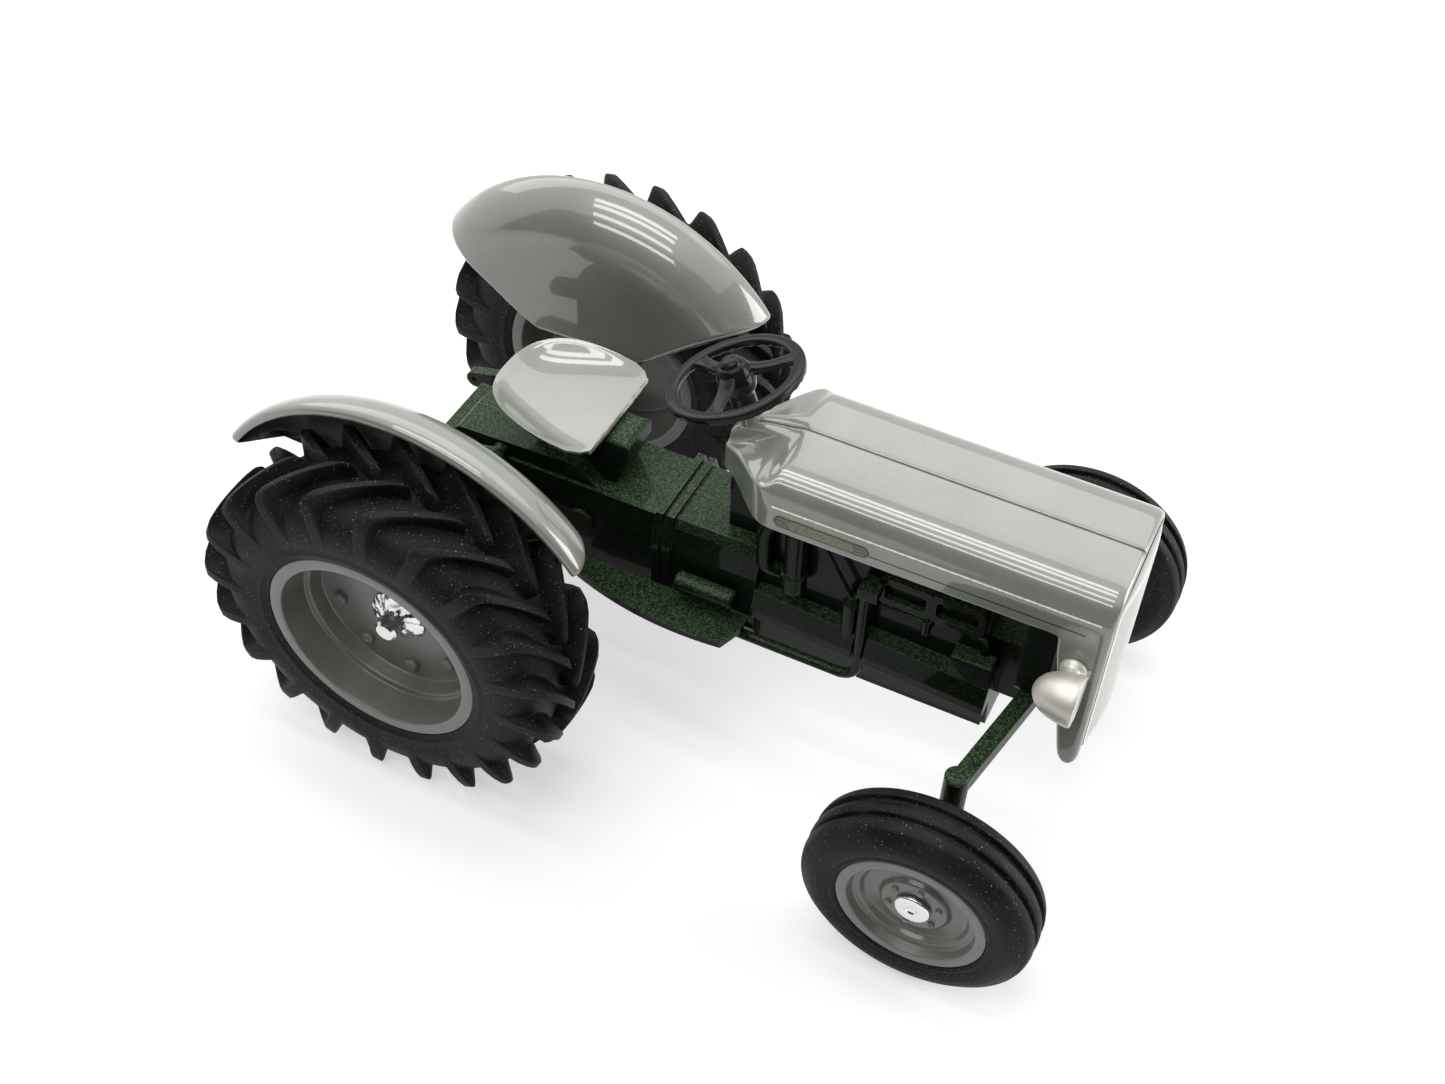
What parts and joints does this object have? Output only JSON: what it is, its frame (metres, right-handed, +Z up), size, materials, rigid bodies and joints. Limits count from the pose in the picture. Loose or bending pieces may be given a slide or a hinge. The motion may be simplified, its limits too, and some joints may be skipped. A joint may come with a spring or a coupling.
{
  "type": "die-cast scale model tractor",
  "caption": "Die-cast scale model of a small grey vintage farm tractor with turning wheels, half-moon fenders, a pan seat and an open engine.",
  "frame": {"origin": "on the ground below the middle of the bounding box", "axes": "+X forward, +Y to the driver's left, +Z up"},
  "size_m": [0.1782, 0.1166, 0.0928],
  "materials": {
    "grey_enamel": "glossy light grey enamel",
    "dark_casting": "very dark green metallic enamel with fine flake",
    "rim_grey": "mid grey satin paint",
    "tyre_rubber": "matt black rubber",
    "bright_metal": "bright plated steel",
    "silver_paint": "silver paint with a warm tone",
    "grille_white": "pale grille panel with fine upright lines",
    "black_plastic": "glossy black plastic"
  },
  "bodies": {
    "chassis": {"body_half_left": "dark_casting", "body_half_right": "dark_casting", "rear_axle": "bright_metal", "push_nut_left": "bright_metal", "push_nut_right": "bright_metal", "axle_nail_left": "bright_metal", "axle_nail_right": "bright_metal", "front_beam": "dark_casting", "king_post_left": "dark_casting", "king_post_right": "dark_casting", "radiator": "dark_casting", "hood_half_left": "grey_enamel", "hood_half_right": "grey_enamel", "grille": "grille_white", "headlight_left": "silver_paint", "headlight_right": "silver_paint", "steering_column": "grey_enamel", "steering_wheel": "black_plastic", "seat": "grey_enamel", "seat_bracket": "dark_casting", "fender_left": "grey_enamel", "fender_right": "grey_enamel", "footplate_left": "dark_casting", "footplate_right": "dark_casting", "exhaust_pipe": "dark_casting", "manifold": "dark_casting", "fuel_filter": "dark_casting", "starter_motor": "dark_casting", "dynamo": "dark_casting", "drawbar": "dark_casting", "lift_arm_left": "dark_casting", "lift_arm_right": "dark_casting"},
    "rear_wheel_left": {"rear_rim_left": "rim_grey", "rear_tyre_left": "tyre_rubber"},
    "front_wheel_left": {"front_rim_left": "rim_grey", "front_tyre_left": "tyre_rubber"},
    "rear_wheel_right": {"rear_rim_right": "rim_grey", "rear_tyre_right": "tyre_rubber"},
    "front_wheel_right": {"front_rim_right": "rim_grey", "front_tyre_right": "tyre_rubber"}
  },
  "joints": [
    {"name": "rear_wheel_left_turn", "type": "hinge", "parent": "chassis", "child": "rear_wheel_left", "pos_m": [-0.04855, 0.0464, 0.0405], "axis": [0, 1, 0], "continuous": true},
    {"name": "front_wheel_left_turn", "type": "hinge", "parent": "chassis", "child": "front_wheel_left", "pos_m": [0.06575, 0.0475, 0.0233], "axis": [0, 1, 0], "continuous": true},
    {"name": "rear_wheel_right_turn", "type": "hinge", "parent": "chassis", "child": "rear_wheel_right", "pos_m": [-0.04855, -0.0464, 0.0405], "axis": [0, 1, 0], "continuous": true},
    {"name": "front_wheel_right_turn", "type": "hinge", "parent": "chassis", "child": "front_wheel_right", "pos_m": [0.06575, -0.0475, 0.0233], "axis": [0, 1, 0], "continuous": true}
  ]
}
